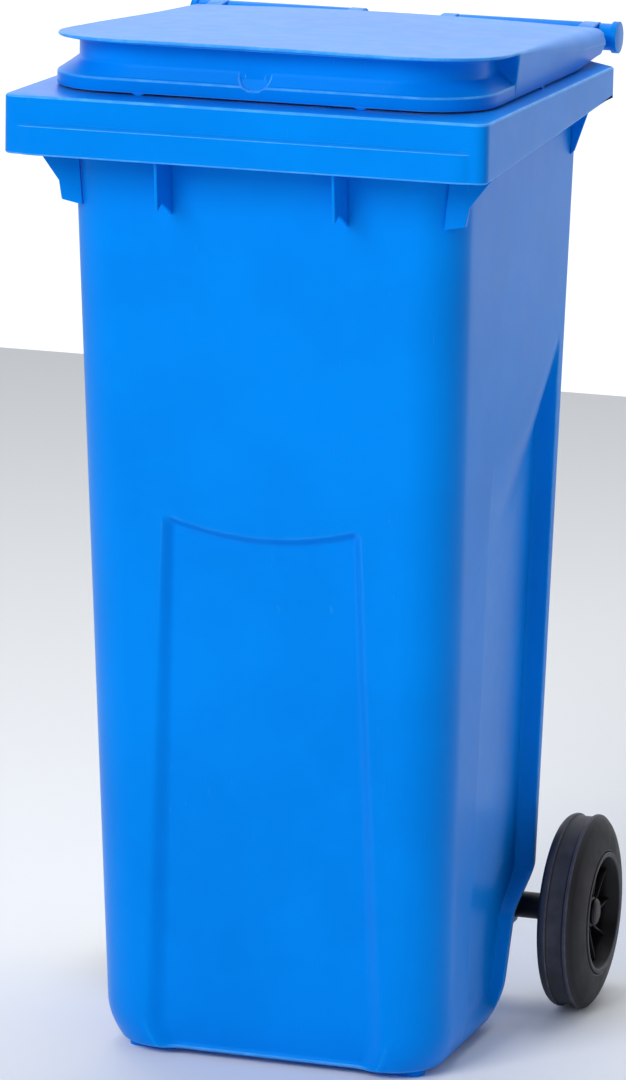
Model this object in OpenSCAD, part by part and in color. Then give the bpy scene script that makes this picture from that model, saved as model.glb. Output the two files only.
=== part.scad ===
// Two-wheeled wheelie bin of the 140 litre class.
// Every depth (Y) in the modules is measured back from the front face of the rim,
// and at_centre() then moves the finished shape so that the origin is under the middle.

/* [Overall] */
// Width of the rim
bin_w = 480; // [460:1:500]
// Depth from the front of the rim to the back of the wheels
bin_d = 550; // [545:1:570]
// Height of the top of the rim above the floor
rim_h = 972; // [940:1:1000]

/* [Tub] */
// Wall thickness of the moulding
wall = 4; // [3.5:0.1:5]
// Half width of the tub under the rim
tub_top_hw = 201; // [196:1:204]
// Half width of the tub near the floor
tub_low_hw = 180; // [176:1:184]
// Depth of the front wall under the rim
tub_top_front = 53; // [48:1:56]
// Depth of the front wall near the floor
tub_low_front = 113; // [108:1:118]
// Depth of the rear wall under the rim
tub_rear = 470; // [466:1:472]
// Height of the underside of the tub
base_h = 7; // [6:0.5:9]
// Depth of the recess in the front wall
front_recess = 9; // [6:0.5:12]
// Greatest depth of the recess in each side wall
side_recess = 19; // [14:1:20]

/* [Rim] */
// Depth of the rim from front to back
rim_d = 478; // [476:1:480]
// Height of the rim's skirt at the front
skirt_front_h = 57; // [50:1:60]
// Height of the rim's skirt at the back
skirt_rear_h = 28; // [24:1:34]
// Length of each rear corner's chamfer
rim_chamfer = 33; // [28:1:36]

/* [Lid] */
// Half width of the lid's skirt
lid_hw = 220; // [218:1:224]
// Thickness of the lid
lid_wall = 3; // [2.5:0.1:4]
// Gap between the lid's skirt and the rim
lid_gap = 2; // [1:0.5:4]
// Height of the lid's lip above the rim
lip_h = 54; // [50:1:58]
// Depth of the grip recess under the lip
lip_recess = 20; // [14:1:24]

/* [Hinge] */
// Depth of the hinge axis
hinge_y = 512; // [511:0.5:514]
// Height of the hinge axis above the rim
hinge_up = 20; // [19:0.5:22]
// Diameter of the grip tubes
grip_dia = 28; // [26:1:30]
// Diameter of the hinge pins
pin_dia = 14; // [12:0.5:15]
// Radial running clearance of pins and axle
clearance = 0.05; // [0.02:0.01:0.1]

/* [Wheels] */
// Diameter of the wheels
wheel_dia = 200; // [196:1:204]
// Distance from the middle of the bin to a wheel's inner face
wheel_in = 208; // [207:0.5:210]
// Width of a wheel
wheel_w = 46; // [44:1:48]
// Diameter of the axle
axle_dia = 20; // [18:0.5:22]

/* [Hidden] */
$fn = 64;

blue = [0.02, 0.42, 0.9];
charcoal = [0.13, 0.13, 0.15];
steel = [0.65, 0.66, 0.68];

eps = 0.01;
rim_hw = bin_w / 2;
wheel_r = wheel_dia / 2;
axle_y = bin_d - wheel_r;
axle_z = wheel_r;
hinge_z = rim_h + hinge_up;
tub_top = rim_h - wall;

module at_centre() { translate([0, -bin_d / 2, 0]) children(); }
module side(s) { if (s < 0) mirror([1, 0, 0]) children(); else children(); }

// A cylinder along X between two distances from the middle.
module bar_x(x0, x1, d, y, z) {
    translate([x0, y, z]) rotate([0, 90, 0]) cylinder(d = d, h = x1 - x0);
}

// A flat outline in depth and height, extruded along X.
module slab_x(x0, x1) {
    translate([x0, 0, 0]) rotate([90, 0, 90]) linear_extrude(x1 - x0) children();
}

function mix(a, b, t) = a + (b - a) * t;
function clamp01(t) = min(1, max(0, t));
function smooth(a, b, v) = let (t = clamp01((v - a) / (b - a))) t * t * (3 - 2 * t);

// ---- Rounded rings, joined into closed shells ----

corner_steps = 6;
function arc(cx, cy, r, a) =
    [for (k = [0:corner_steps]) let (t = a + 90 * k / corner_steps) [cx + r * cos(t), cy + r * sin(t)]];

// A ring seen from above, anticlockwise from its left side: hw is its half width, y0 and y1 its
// front and rear, rf and rr its corner radii. xs and ys place the points between the corners.
function ring(hw, y0, y1, rf, rr, xs, ys) = concat(
    arc(-hw + rf, y0 + rf, rf, 180),
    [for (x = xs) [x, y0]],
    arc(hw - rf, y0 + rf, rf, 270),
    [for (y = ys) [hw, y]],
    arc(hw - rr, y1 - rr, rr, 0),
    [for (k = [len(xs) - 1:-1:0]) [xs[k], y1]],
    arc(-hw + rr, y1 - rr, rr, 90),
    [for (k = [len(ys) - 1:-1:0]) [-hw, ys[k]]]);

function middle(points) = let (n = len(points)) [for (k = [0:2]) sum([for (p = points) p[k]]) / n];
function sum(v) = v * [for (x = v) 1];

// A closed solid through rings of equal length. A fan around its middle closes each end.
module loft(rings) {
    n = len(rings[0]);
    last = len(rings) - 1;
    size = n * len(rings);
    points = [for (row = rings) for (p = row) p];
    sides = [for (r = [0:last - 1]) for (i = [0:n - 1])
        let (j = (i + 1) % n, a = r * n + i, b = a + n, c = (r + 1) * n + j, d = r * n + j)
        each [[a, b, c], [a, c, d]]];
    fans = [for (i = [0:n - 1]) let (j = (i + 1) % n)
        each [[i, j, size], [last * n + j, last * n + i, size + 1]]];
    polyhedron(concat(points, [middle(rings[0]), middle(rings[last])]), concat(sides, fans));
}

// ---- Tub ----

low_h = 80;                    // the straight taper ends here and the base begins to round
base_in = 13;                  // how far the base draws in below that
notch_low = 106;               // the rear wall steps forward over the axle between these heights
notch_high = 150;
notch_y = 388;
base_y = 352;                  // depth of the rear wall at the base
rear_round = 20;
rear_slope = 12;                // how far the rear wall leans in from top to bottom
panel_top = 556;               // top of the recess in the front wall, at its sides
panel_sag = 13;
panel_slope_low = 22;           // width of the panel's side walls at the base and at its top
panel_slope_high = 12;
panel_toe = 0.55;              // share of the recess's depth that is left at the very base
side_front = 226;              // the side recess lies between these depths
side_rear = 428;
side_step = 7;
side_shallow = 4;              // depth of the side recess at its front
side_top = 612;                // and rises from this height at its front
side_rise = 92;
side_ramp = 60;                 // over this height it fades out

function down(z) = (tub_top - z) / (tub_top - low_h);
function base_round(z) = base_in * pow(clamp01((low_h - 30 - z) / (low_h - 30 - base_h)), 2);
function tub_hw(z) = mix(tub_top_hw, tub_low_hw, down(z)) - base_round(z);
function tub_front(z) = mix(tub_top_front, tub_low_front, down(z)) + base_round(z) * 0.5;
function low_back(z) = mix(base_y, notch_y, clamp01(z / notch_low));
function tub_back(z) = mix(low_back(z), tub_rear - rear_slope * down(z), smooth(notch_low, notch_high, z))
    - base_round(z) * 0.4;
function front_round(z) = mix(48, 52, down(z));
function panel_slope(z) = mix(panel_slope_low, panel_slope_high, clamp01(z / panel_top));
function panel_hw(z) = min(mix(105, 90, z / panel_top), tub_hw(z) - front_round(z) - panel_slope(z) - 1);

function panel_depth(x, z) = front_recess
    * (1 - smooth(panel_hw(z), panel_hw(z) + panel_slope(z), abs(x)))
    * (1 - smooth(panel_top - 10, panel_top + 3, z + panel_sag * (1 - pow(x / 90, 2))))
    * mix(panel_toe, 1, smooth(10, 15, z));
// The side recess deepens towards the back and ends there in a wall that faces forwards.
function side_back(z) = min(side_rear, tub_back(z) - rear_round - side_step - 2);
function side_depth(y, z) =
    let (t = clamp01((y - side_front) / (side_rear - side_front)))
    mix(side_shallow, side_recess, t) * smooth(side_front - 14, side_front, y)
    * (1 - smooth(side_back(z), side_back(z) + side_step, y))
    * (1 - smooth(-side_ramp, 0, z - side_top - side_rise * t * t)) * smooth(20, 40, z);

// One ring of the tub at height z, drawn in by t.
function tub_ring(z, t = 0) =
    let (hw = tub_hw(z) - t, y0 = tub_front(z) + t, y1 = tub_back(z) - t,
         rf = front_round(z) - t, rr = rear_round - t, w = panel_hw(z), slope = panel_slope(z),
         xs = [-w - slope, -w, -w / 2, 0, w / 2, w, w + slope],
         back = side_back(z),
         ys = [side_front - 14, for (k = [0:4]) mix(side_front, back, k / 4), back + side_step])
    [for (p = ring(hw, y0, y1, rf, rr, xs, ys))
        abs(p[1] - y0) < eps ? [p[0], p[1] + panel_depth(p[0], z), z]
        : abs(abs(p[0]) - hw) < eps ? [p[0] - sign(p[0]) * side_depth(p[1], z), p[1], z]
        : [p[0], p[1], z]];

outer_heights = [base_h, 8.5, 10, 12.5, 15, 28, 40, 60, 95, notch_low, 120, 136, notch_high, 220, 290, 360,
                 430, 490, 530, 542, 548, 554, 560, 575, 592, 612, 632, 655, 680, 704, 740, 820, 900,
                 tub_top];
inner_heights = [tub_top, 820, 704, 680, 655, 632, 612, 592, 560, 542, 530, 430, 290, 162, 146, 130, 112, 60,
                 30, base_h + wall];

module tub() {
    color(blue) at_centre() loft(concat(
        [for (z = outer_heights) tub_ring(z)],
        [for (z = inner_heights) tub_ring(z, wall)]));
}

// Two pads under the front corners of the base, on which the bin stands.
foot_x = 128;
foot_y = 158;
module foot_pads() {
    color(blue) at_centre() for (s = [-1, 1])
        translate([s * foot_x, foot_y, 0]) difference() {
            union() {
                translate([-14, -12, 0]) cube([28, 24, base_h]);
                for (x = [-14, 14]) translate([x, 0, 0]) cylinder(r = 12, h = base_h);
            }
            translate([0, 0, base_h + 5]) cube([60, 60, 10], center = true);
        }
}

// ---- Rim ----

rim_wall = 3.6;
rim_round = 10;
step_h = 28;                   // the front face steps back this far below the top
step_in = 3.5;

// Outline of the rim from above, drawn in by t: round front corners and chamfered rear ones.
module rim_outline(t) {
    hw = rim_hw - t;
    r = rim_round - t / 2;
    for (s = [-1, 1]) translate([s * (hw - r), t + r]) circle(r);
    translate([-hw + r, t]) square([2 * hw - 2 * r, r]);
    polygon([[-hw, t + r], [hw, t + r], [hw, rim_d - rim_chamfer], [hw - rim_chamfer, rim_d - t],
             [-hw + rim_chamfer, rim_d - t], [-hw, rim_d - rim_chamfer]]);
}

module mouth_outline() {
    hw = tub_hw(tub_top) - wall;
    y0 = tub_front(tub_top) + wall;
    y1 = tub_back(tub_top) - wall;
    rf = front_round(tub_top) - wall;
    rr = rear_round - wall;
    for (s = [-1, 1]) {
        translate([s * (hw - rf), y0 + rf]) circle(rf);
        translate([s * (hw - rr), y1 - rr]) circle(rr);
    }
    translate([-hw + rf, y0]) square([2 * (hw - rf), y1 - y0]);
    translate([-hw + rr, y1 - rr * 2]) square([2 * (hw - rr), rr * 2]);
    translate([-hw, y0 + rf]) square([2 * hw, y1 - rr - y0 - rf]);
}

module rim() {
    low = rim_h - skirt_front_h;
    color(blue) at_centre() difference() {
        union() {
            translate([0, 0, rim_h - step_h]) linear_extrude(step_h) intersection() {
                rim_outline(0);
                translate([-rim_hw, step_in]) square([bin_w, bin_d]);
            }
            translate([0, 0, low]) linear_extrude(skirt_front_h - step_h) rim_outline(0);
        }
        // The hollow behind the skirt, and the mouth.
        translate([0, 0, low - 1]) linear_extrude(skirt_front_h + 1 - wall) rim_outline(step_in + rim_wall);
        translate([0, 0, rim_h - wall - 1]) linear_extrude(wall + 2) mouth_outline();
        // The skirt is cut shorter towards the back.
        slab_x(-rim_hw - 1, rim_hw + 1) polygon([[12, low - 1], [12, low],
            [rim_d + 5, rim_h - skirt_rear_h], [rim_d + 5, low - 1]]);
    }
}

// Two fins between the front wall and the skirt, and a gusset at each of the four corners.
rib_x = 87;
rib_w = 3;
gusset_w = 4;
gusset_front = 68;             // depth of the front gussets' front faces
gusset_rear = 438;

// Half width of the tub at a depth within its rounded front corner.
function corner_hw(y, z) =
    let (r = front_round(z), off = max(0, tub_front(z) + r - y))
    tub_hw(z) - r + sqrt(r * r - off * off);

module gusset(y, points) {
    translate([0, y + gusset_w, 0]) rotate([90, 0, 0]) linear_extrude(gusset_w) polygon(points);
}

module rim_ribs() {
    under = rim_h - wall;
    skirt_in = step_in + rim_wall;
    skirt_hw = rim_hw - skirt_in;
    gap = 0.2;
    rib_low = rim_h - 114;
    front_low = rim_h - 112;
    rear_low = rim_h - 90;
    y = gusset_front + gusset_w;
    color(blue) at_centre() for (s = [-1, 1]) side(s) {
        slab_x(rib_x, rib_x + rib_w) polygon([
            [skirt_in, rim_h - 52], [skirt_in, under], [tub_front(under) - gap, under],
            [tub_front(rib_low) - gap, rib_low], [tub_front(rib_low) - 8, rib_low + 5],
            [30, rib_low + 15], [18, rib_low + 9], [13, rim_h - 60]]);
        gusset(gusset_front, [
            [corner_hw(y, under) + gap, under], [skirt_hw, under], [skirt_hw, rim_h - 55],
            [206, rim_h - 90], [203, rim_h - 108], [corner_hw(y, front_low) + gap, front_low]]);
        gusset(gusset_rear, [
            [tub_hw(under) + gap, under], [skirt_hw, under], [skirt_hw, rim_h - 28],
            [217, rim_h - 44], [tub_hw(rear_low) + 4, rear_low + 4], [tub_hw(rear_low) + gap, rear_low]]);
    }
}

// ---- Handles: a grip tube between two lugs, which also carries the hinge ----

lug_in = 58;
lug_out = 188;
lug_w = 12;

module lug_outline() {
    translate([hinge_y, hinge_z]) circle(d = grip_dia);
    polygon([[hinge_y - 6, hinge_z - grip_dia / 2 + 2], [hinge_y - 12, hinge_z - 5],
             [rim_d, rim_h - 2], [rim_d, rim_h - 24], [hinge_y - 18, rim_h - 9]]);
}

module handle(s) {
    color(blue) at_centre() side(s) difference() {
        union() {
            for (x = [lug_in, lug_out - lug_w]) slab_x(x, x + lug_w) lug_outline();
            bar_x(lug_in, lug_out, grip_dia, hinge_y, hinge_z);
        }
        bar_x(lug_in - 1, lug_out + 1, pin_dia + 2 * clearance, hinge_y, hinge_z);
    }
}
module handle_left() { handle(-1); }
module handle_right() { handle(1); }

// ---- Lid ----

lid_front = 45;
lid_rear = 483;
lid_corner = 65;
lip_front = 31;
lip_corner = 97;
lip_hw = 224;
skirt_h = 14;
band_h = 27;                   // the sloped band above the skirt ends at this height
recess_end = 165;              // depth at which the grip recess ends on each side
lid_fall = 21;                 // the lid's top falls this far to the back
lid_ys = [135, 150, recess_end - 4, recess_end + 4, 230, 310, 390, 440];
lid_xs = [-90, 0, 90];

function lid_top(y) = rim_h + lip_h - lid_fall * (y - lip_front) / (lid_rear - lip_front);
function lid_low(y) = rim_h + lid_gap + 6 * smooth(370, 470, y);
function lid_flat(hw, y0, rf) = ring(hw, y0, lid_rear, rf, 16, lid_xs, lid_ys);

// A ring of the lid between the recessed outline and the full one, behind the recess.
function lid_ring(hw, y0, rf, full_hw, t) =
    let (inner = lid_flat(hw - t, y0 + t, rf - t), outer = lid_flat(full_hw - t, y0 + t, rf - t))
    [for (i = [0:len(inner) - 1]) let (k = smooth(recess_end - 5, recess_end + 5, inner[i][1]))
        [mix(inner[i][0], outer[i][0], k),
         inner[i][1] - (inner[i][1] > lid_rear - t - 40 ? t : 0)]];
function lift(points, h) = [for (p = points) [p[0], p[1], h]];

lip_wall_hw = lip_hw - lip_recess;
lip_wall_y = lip_front + lip_recess + 2;
lip_wall_r = lip_corner - lip_recess;

module lid_shell() {
    t = lid_wall;
    foot_in = lid_ring(lip_wall_hw, lip_wall_y, lip_wall_r, lid_hw + 1, t);
    top_in = lid_ring(lip_wall_hw, lip_wall_y, lip_wall_r, lid_hw + 3, t);
    foot = lid_ring(lip_wall_hw, lip_wall_y, lip_wall_r, lid_hw + 1, 0);
    top = lid_ring(lip_wall_hw, lip_wall_y, lip_wall_r, lid_hw + 3, 0);
    skirt_in = lid_flat(lid_hw - t, lid_front + t, lid_corner - t);
    skirt = lid_flat(lid_hw, lid_front, lid_corner);
    lip = lid_flat(lip_hw, lip_front, lip_corner);
    color(blue) at_centre() loft([
        [for (p = top_in) [p[0], p[1], lid_top(p[1]) - t]],
        lift(foot_in, rim_h + band_h - t / 2),
        [for (p = skirt_in) [p[0], min(p[1], lid_rear - t), rim_h + lid_gap + skirt_h - t / 2]],
        [for (p = skirt_in) [p[0], min(p[1], lid_rear - t), lid_low(p[1])]],
        [for (p = skirt) [p[0], p[1], lid_low(p[1])]],
        lift(skirt, rim_h + lid_gap + skirt_h),
        lift(foot, rim_h + band_h),
        [for (p = top) [p[0], p[1], lid_top(p[1]) - t - 2]],
        [for (p = lip) [p[0], p[1], lid_top(p[1]) - t]],
        [for (p = lip) [p[0], p[1], lid_top(p[1])]]]);
}

// Half-round rests under the lid's skirt, which stand on the rim.
module lid_rests() {
    color(blue) at_centre() {
        for (x = [-118, 104]) translate([x, lid_front + 0.2, rim_h + lid_gap])
            rotate([-90, 0, 0]) intersection() {
                translate([0, -9, 0]) cylinder(r = 11, h = 2.6);
                translate([-15, 0, 0]) cube([30, lid_gap, 2.6]);
            }
        for (s = [-1, 1]) translate([s * (lid_hw - 1.5), 262, rim_h + lid_gap])
            rotate([-90, 0, 90]) intersection() {
                translate([0, -9, -1.3]) cylinder(r = 11, h = 2.6);
                translate([-15, 0, -1.3]) cube([30, lid_gap, 2.6]);
            }
    }
}

// Two knuckles on each side of the lid's rear edge, outside the grip tube's lugs.
knuckle_dia = 29;
module lid_knuckles(s) {
    color(blue) at_centre() side(s) for (x = [[41, 57.5], [188.5, 206]]) difference() {
        union() {
            bar_x(x[0], x[1], knuckle_dia, hinge_y, hinge_z);
            slab_x(x[0], x[1]) polygon([[lid_rear, rim_h + 12], [hinge_y, hinge_z - 8],
                [hinge_y, hinge_z + knuckle_dia / 2], [hinge_y - 6, hinge_z + knuckle_dia / 2],
                [lid_rear, lid_top(lid_rear) - 1]]);
        }
        bar_x(x[0] - 1, x[1] + 1, pin_dia + 2 * clearance, hinge_y, hinge_z);
    }
}
module lid_knuckles_left() { lid_knuckles(-1); }
module lid_knuckles_right() { lid_knuckles(1); }

// A hinge pin: a shank through the tube and both knuckles, a thick neck and a round cap.
cap_x = 226;
module hinge_pin(s) {
    color(blue) at_centre() side(s) {
        bar_x(38, 210, pin_dia, hinge_y, hinge_z);
        bar_x(206.4, cap_x - 5, 27, hinge_y, hinge_z);
        bar_x(cap_x - 6, cap_x, 32, hinge_y, hinge_z);
    }
}
module hinge_pin_left() { hinge_pin(-1); }
module hinge_pin_right() { hinge_pin(1); }

// ---- Axle, its mounts and the wheels ----

mount_in = 112;
mount_out = 160;

// A ribbed housing in the step of the rear wall that holds one end of the axle.
module axle_mount(s) {
    front_y = notch_y + 0.2;
    color(blue) at_centre() side(s) difference() {
        union() {
            for (x = [mount_in, (mount_in + mount_out) / 2 - 4, mount_out - 8]) slab_x(x, x + 8) {
                translate([axle_y, axle_z]) circle(r = axle_dia / 2 + 9);
                polygon([[front_y, axle_z - 30], [axle_y - 4, axle_z - 18.5], [axle_y, axle_z],
                         [axle_y + 19, axle_z], [axle_y + 17, notch_low - 1], [front_y, notch_low - 1]]);
            }
            bar_x(mount_in, mount_out, axle_dia + 10, axle_y, axle_z);
        }
        bar_x(mount_in - 1, mount_out + 1, axle_dia, axle_y, axle_z);
    }
}
module axle_mount_left() { axle_mount(-1); }
module axle_mount_right() { axle_mount(1); }

module axle() {
    color(steel) at_centre() bar_x(-axle_end, axle_end, axle_dia, axle_y, axle_z);
}

module spacer(s) {
    color(charcoal) at_centre() side(s) difference() {
        bar_x(mount_out, wheel_in - 0.5, 27, axle_y, axle_z);
        bar_x(mount_out - 1, wheel_in + 1, axle_dia, axle_y, axle_z);
    }
}
module spacer_left() { spacer(-1); }
module spacer_right() { spacer(1); }

wheel_out = wheel_in + wheel_w;
hub_face = wheel_out - 11;      // end of the hub's barrel
axle_end = wheel_out - 16;

// The domed cap pressed on the end of the axle.
module axle_cap(s) {
    color(charcoal) at_centre() side(s) translate([hub_face, axle_y, axle_z]) rotate([0, 90, 0])
        difference() {
            rotate_extrude() polygon([[0, -4.6], [12, -4.6], [12, 0.3], [14, 0.3], [14, 1.6],
                                      [12.4, 3.2], [9, 4.4], [4, 4.9], [0, 4.9]]);
            translate([0, 0, -6]) cylinder(d = axle_dia, h = 6 + axle_end - hub_face);
        }
}
module axle_cap_left() { axle_cap(-1); }
module axle_cap_right() { axle_cap(1); }

// Moves a shape drawn around Z onto a wheel's axis, Z pointing outwards from the wheel's inner face.
module on_wheel(s) {
    color(charcoal) at_centre() side(s) translate([wheel_in, axle_y, axle_z])
        rotate([0, 90, 0]) children();
}

spokes = 8;
hub_r = 60;
module hub(s) {
    depth = hub_face - wheel_in;
    on_wheel(s) difference() {
        union() {
            cylinder(r = 16, h = depth);
            rotate_extrude() polygon([[52, 8], [hub_r, 8], [hub_r, wheel_w - 3], [62.5, wheel_w - 3],
                                      [62.5, wheel_w], [57.5, wheel_w], [53, 20]]);
            translate([0, 0, 14]) cylinder(r = 55, h = 3.5);
            for (k = [0:spokes - 1]) rotate([0, 0, (k + 0.5) * 360 / spokes])
                translate([10, -1.5, 9]) cube([45, 3, depth - 12]);
        }
        translate([0, 0, -1]) cylinder(d = axle_dia + 2 * clearance, h = wheel_w + 2);
        translate([0, 0, depth - 4.8]) cylinder(r = 12.3, h = 10);
    }
}
module hub_left() { hub(-1); }
module hub_right() { hub(1); }

// The solid rubber tyre: a ridge near each face with a lower flat band between them.
module tyre(s) {
    w = wheel_w;
    on_wheel(s) rotate_extrude($fn = 96) polygon([
        [hub_r, 6], [68, 2], [84, 0], [93, 0.5], [97, 4], [99.5, 8], [99.5, 10.5], [97, 12], [97, w - 18],
        [wheel_r, w - 17], [wheel_r, w - 13.5], [94, w - 9], [84, w - 4.5], [72, w - 2],
        [62.6, w - 1], [62.6, w - 3], [hub_r, w - 3]]);
}
module tyre_left() { tyre(-1); }
module tyre_right() { tyre(1); }

tub();
rim();
rim_ribs();
foot_pads();
handle_left();
handle_right();
axle_mount_left();
axle_mount_right();
axle();
spacer_left();
spacer_right();
axle_cap_left();
axle_cap_right();
lid_shell();
lid_knuckles_left();
lid_knuckles_right();
lid_rests();
hinge_pin_left();
hinge_pin_right();
hub_left();
hub_right();
tyre_left();
tyre_right();
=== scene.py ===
import math

import bmesh
import bpy
import numpy as np
from mathutils import Matrix, Vector


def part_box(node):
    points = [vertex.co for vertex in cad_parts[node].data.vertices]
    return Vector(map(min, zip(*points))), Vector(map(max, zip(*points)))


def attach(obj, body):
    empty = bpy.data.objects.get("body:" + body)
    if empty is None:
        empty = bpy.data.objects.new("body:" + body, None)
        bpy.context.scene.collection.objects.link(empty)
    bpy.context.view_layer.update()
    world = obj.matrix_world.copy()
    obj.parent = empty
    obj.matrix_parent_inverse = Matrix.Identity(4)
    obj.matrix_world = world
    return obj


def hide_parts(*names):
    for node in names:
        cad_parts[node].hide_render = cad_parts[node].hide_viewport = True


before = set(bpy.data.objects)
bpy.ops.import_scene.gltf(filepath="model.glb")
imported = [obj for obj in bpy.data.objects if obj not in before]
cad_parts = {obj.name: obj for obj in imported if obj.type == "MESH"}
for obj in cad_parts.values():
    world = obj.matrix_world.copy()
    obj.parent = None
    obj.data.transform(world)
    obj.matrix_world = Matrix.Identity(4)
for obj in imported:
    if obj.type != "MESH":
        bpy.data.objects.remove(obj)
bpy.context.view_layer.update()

MM = 0.001


def cad_mm(node):
    """A CAD node's lowest and highest corners in mm, with Y measured from the front of the rim."""
    low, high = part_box(node)
    shift = np.array([0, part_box("rim")[0].y, 0])
    return (np.array(low) - shift) / MM, (np.array(high) - shift) / MM


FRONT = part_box("rim")[0].y / MM            # the rim's front in the frame, in mm
RIM_HW, RIM_D, RIM_TOP = cad_mm("rim")[1]


# ---- Small maths ----

def mix(a, b, t):
    return a + (b - a) * t


def smooth(a, b, v):
    t = np.clip((v - a) / (b - a), 0, 1)
    return t * t * (3 - 2 * t)


def spread(*stops):
    """Numbers from stop to stop: spread((0, 10), (5, 4), 9) goes to 5 in 10 steps, then to 9 in 4."""
    out = []
    for (start, count), after in zip(stops[:-1], stops[1:]):
        end = after[0] if isinstance(after, tuple) else after
        out.extend(start + (end - start) * k / count for k in range(count))
    return np.array(out + [stops[-1]], float)


# ---- Rings and lofts: every ring is anticlockwise from above, from the middle of the front ----

CORNER = 16                                # points in a corner
RAY_REACH, HALVINGS = 400.0, 40            # how far corner rays are followed, and how finely


def arc(cx, cy, r, start, count=CORNER, sweep=90):
    a = np.radians(start + np.linspace(0, sweep, count))
    return np.stack([cx + r * np.cos(a), cy + r * np.sin(a)], 1)


def ray_corner(hw, boxes, cx, cy, count=CORNER):
    """The front right corner where rays from (cx, cy) leave a shape joined from boxes of half width hw.
    Each box is (front, corner radius)."""
    a = np.radians(-90 + np.linspace(0, 90, count))
    way = np.stack([np.cos(a), np.sin(a)], 1)
    best = np.zeros(count)
    for front, r in boxes:
        near, far = np.zeros(count), np.full(count, RAY_REACH)
        for _ in range(HALVINGS):
            half = (near + far) / 2
            x, y = cx + way[:, 0] * half, cy + way[:, 1] * half
            inside = np.hypot(np.maximum(x - hw + r, 0), np.maximum(front + r - y, 0)) < r
            near, far = np.where(inside, half, near), np.where(inside, far, half)
        best = np.maximum(best, near)
    return np.stack([cx + way[:, 0] * best, cy + way[:, 1] * best], 1)


def chamfer(hw, back, cut, r):
    """The rear right corner cut off at 45 degrees, with its two edges rounded."""
    half = CORNER // 2
    reach = r * math.tan(math.radians(22.5))
    return np.concatenate([
        arc(hw - r, back - cut - reach, r, 0, half, 45),
        arc(hw - cut - reach, back - r, r, 45, half, 45)])


def ring(hw, front, back, xs, ys, front_corner, rear_corner):
    """xs: points right of the middle along the front; ys: points along the right side."""
    right = np.concatenate([
        np.stack([xs, np.full(len(xs), front)], 1),
        front_corner[1:-1],
        np.stack([np.full(len(ys), hw), ys], 1),
        rear_corner[1:],
        np.stack([xs[::-1], np.full(len(xs), back)], 1)])
    left = right[::-1][1:-1] * (-1, 1)
    return np.concatenate([right, left])


def lift(flat, z):
    height = np.broadcast_to(np.asarray(z, float).reshape(-1, 1), (len(flat), 1))
    return np.concatenate([flat, height], 1)


def shrink(row, amount):
    """A row drawn towards the line through its middle, for a cap."""
    middle = np.array([0, (row[:, 1].min() + row[:, 1].max()) / 2])
    out = row.copy()
    out[:, :2] = middle + (row[:, :2] - middle) * amount
    return out


PALE_EDGE_LOW, PALE_EDGE_HIGH = 0.10, 0.45           # turn in radians per mm where the paler edges (a painted highlight, on the tyre also dust) start, and are full
GAP_LOW = 0.3                              # faces closer than this, in mm, count as this far apart


def store_pale_edge_mask(mesh):
    """Stores on each point how sharply the surface turns outwards there, from 0 to 1, as the mask for
    the painted edge highlights (and the tyre's dust).
    """
    work = bmesh.new()
    work.from_mesh(mesh)
    turn = np.zeros(len(work.verts))
    for edge in work.edges:
        if len(edge.link_faces) == 2:
            a, b = edge.link_faces
            gap = (a.calc_center_median() - b.calc_center_median()).length / MM
            angle = edge.calc_face_angle_signed(0)
            for v in edge.verts:
                turn[v.index] = max(turn[v.index], angle / max(gap, GAP_LOW))
    work.free()
    pale_edge_mask = mesh.attributes.new("edge", "FLOAT", "POINT")
    pale_edge_mask.data.foreach_set("value", smooth(PALE_EDGE_LOW, PALE_EDGE_HIGH, turn))


def make_mesh(name, verts, faces, body, material):
    mesh = bpy.data.meshes.new(name)
    mesh.from_pydata([tuple(v) for v in verts], [], faces)
    mesh.validate()
    store_pale_edge_mask(mesh)
    mesh.polygons.foreach_set("use_smooth", [True] * len(mesh.polygons))
    mesh.update()
    obj = bpy.data.objects.new(name, mesh)
    bpy.context.scene.collection.objects.link(obj)
    mesh.materials.append(material)
    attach(obj, body)
    return obj


def loft_data(rows, caps=True, wrap=False):
    """A surface through rows of equal length. wrap joins the last row to the first."""
    n = len(rows[0])
    verts = np.concatenate(rows)
    count = len(rows)
    faces = []
    for r in range(count if wrap else count - 1):
        a, b = r * n, ((r + 1) % count) * n
        faces.extend((a + i, a + (i + 1) % n, b + (i + 1) % n, b + i) for i in range(n))
    if caps:
        first, last = len(verts), len(verts) + 1
        verts = np.concatenate([verts, [rows[0].mean(0)], [rows[-1].mean(0)]])
        end = (count - 1) * n
        faces.extend(((i + 1) % n, i, first) for i in range(n))
        faces.extend((end + i, end + (i + 1) % n, last) for i in range(n))
    return verts, faces


def place(verts):
    return (verts + (0, FRONT, 0)) * MM


# ---- Materials ----

def material(name):
    mat = bpy.data.materials.new(name)
    mat.use_nodes = True
    nodes = mat.node_tree.nodes
    nodes.clear()
    out = nodes.new("ShaderNodeOutputMaterial")
    bsdf = nodes.new("ShaderNodeBsdfPrincipled")
    mat.node_tree.links.new(bsdf.outputs[0], out.inputs[0])
    return mat, bsdf


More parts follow.
